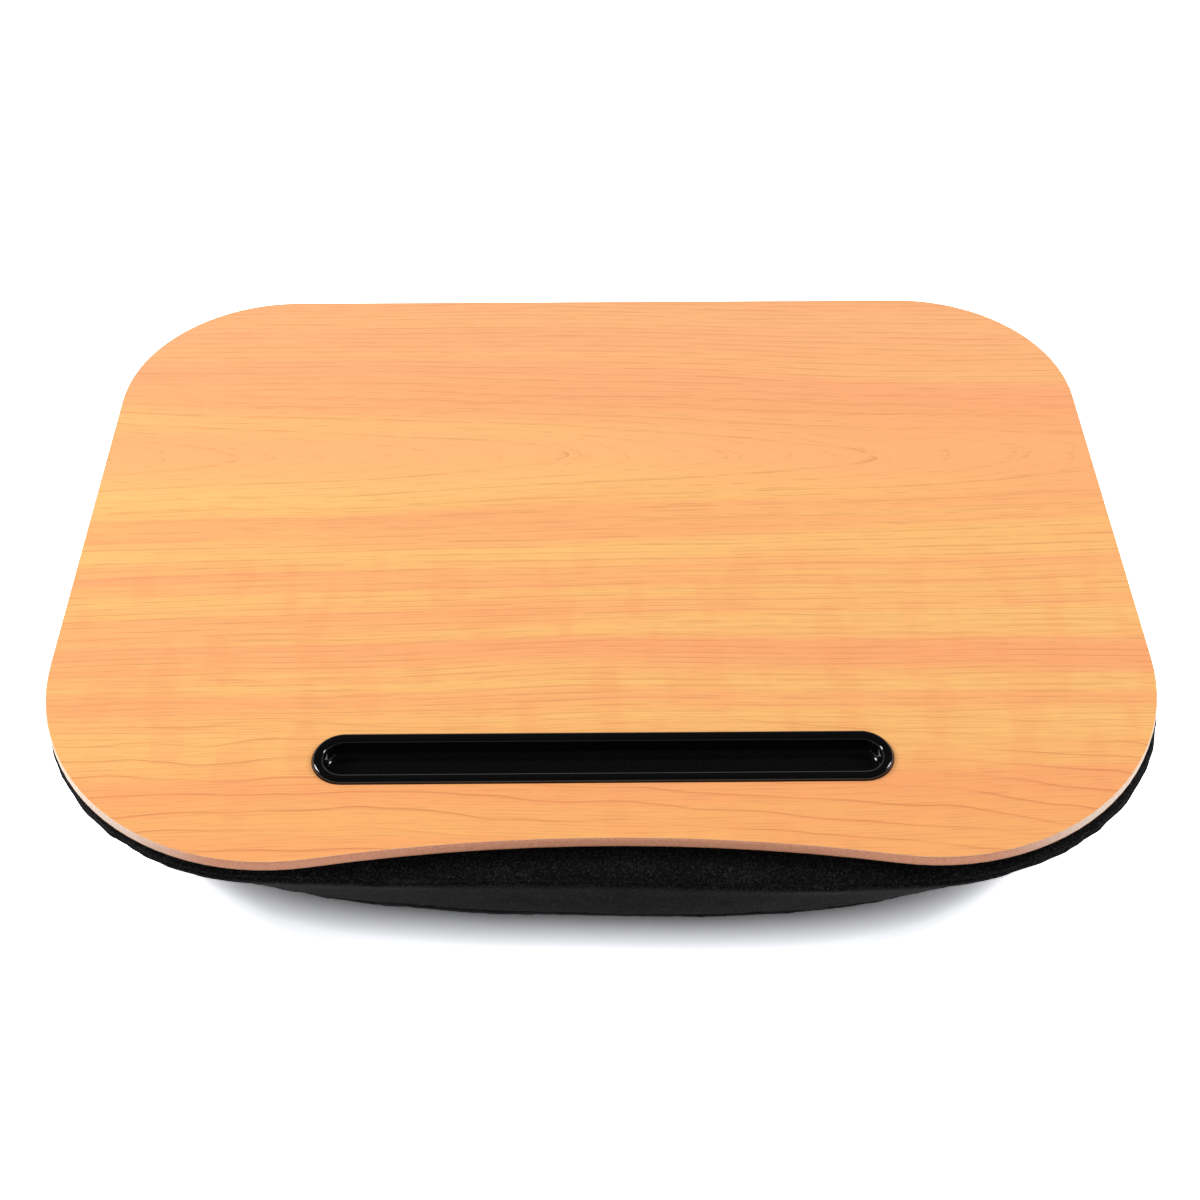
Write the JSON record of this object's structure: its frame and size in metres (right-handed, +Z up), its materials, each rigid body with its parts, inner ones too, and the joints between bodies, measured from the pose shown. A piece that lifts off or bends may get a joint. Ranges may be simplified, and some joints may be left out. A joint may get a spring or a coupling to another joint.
{
  "type": "lap tray with cushion",
  "caption": "Woodgrain lap tray with rounded corners, a shallow scallop at the user's edge and a sunk pen tray, on a soft black bead cushion that lifts off.",
  "frame": {"origin": "centre of the underside, on the surface that the cushion rests on", "axes": "+X along the width to the user's right as they sit at it, +Y away from the user, +Z up"},
  "size_m": [0.4838, 0.3657, 0.0578],
  "materials": {
    "mdf": "matte",
    "woodgrain_foil": "satin",
    "backing_foil": "matte",
    "pen_tray_plastic": "gloss",
    "hook_and_loop": "matte",
    "cover_felt": "matte",
    "bag_cloth": "matte",
    "beads": "matte",
    "zip_tape": "matte",
    "zip_plastic": "satin",
    "zip_metal": "satin"
  },
  "bodies": {
    "cushion": {"cover_bottom_panel": "cover_felt", "cover_side_band": "cover_felt", "cover_top_panel": "cover_felt", "zip_panel_upper": "cover_felt", "zip_panel_lower": "cover_felt", "bead_bag": "bag_cloth", "bead_filling": "beads", "loop_strips": "hook_and_loop", "zip_tape_upper": "zip_tape", "zip_tape_lower": "zip_tape", "zip_teeth_upper": "zip_plastic", "zip_teeth_lower": "zip_plastic", "zip_top_stops": "zip_plastic", "zip_bottom_stop": "zip_plastic"},
    "tray": {"board_core": "mdf", "woodgrain_foil": "woodgrain_foil", "backing_foil": "backing_foil", "pen_tray": "pen_tray_plastic", "hook_strips": "hook_and_loop"},
    "slider": {"zip_slider": "zip_metal"},
    "pull": {"zip_pull": "zip_metal"}
  },
  "joints": [
    {"name": "tray_lift", "type": "slide", "parent": "cushion", "child": "tray", "axis": [0, 0, 1], "range_m": [0, 0.08]},
    {"name": "zip_open", "type": "slide", "parent": "cushion", "child": "slider", "axis": [-1, 0, 0], "range_m": [0, 0.2059], "deforming": ["zip_teeth_upper", "zip_teeth_lower"]},
    {"name": "zip_pull_swing", "type": "hinge", "parent": "slider", "child": "pull", "pos_m": [0.10295, 0.18062, 0.0285], "axis": [0, 0, -1], "range_deg": [0, 180]}
  ]
}
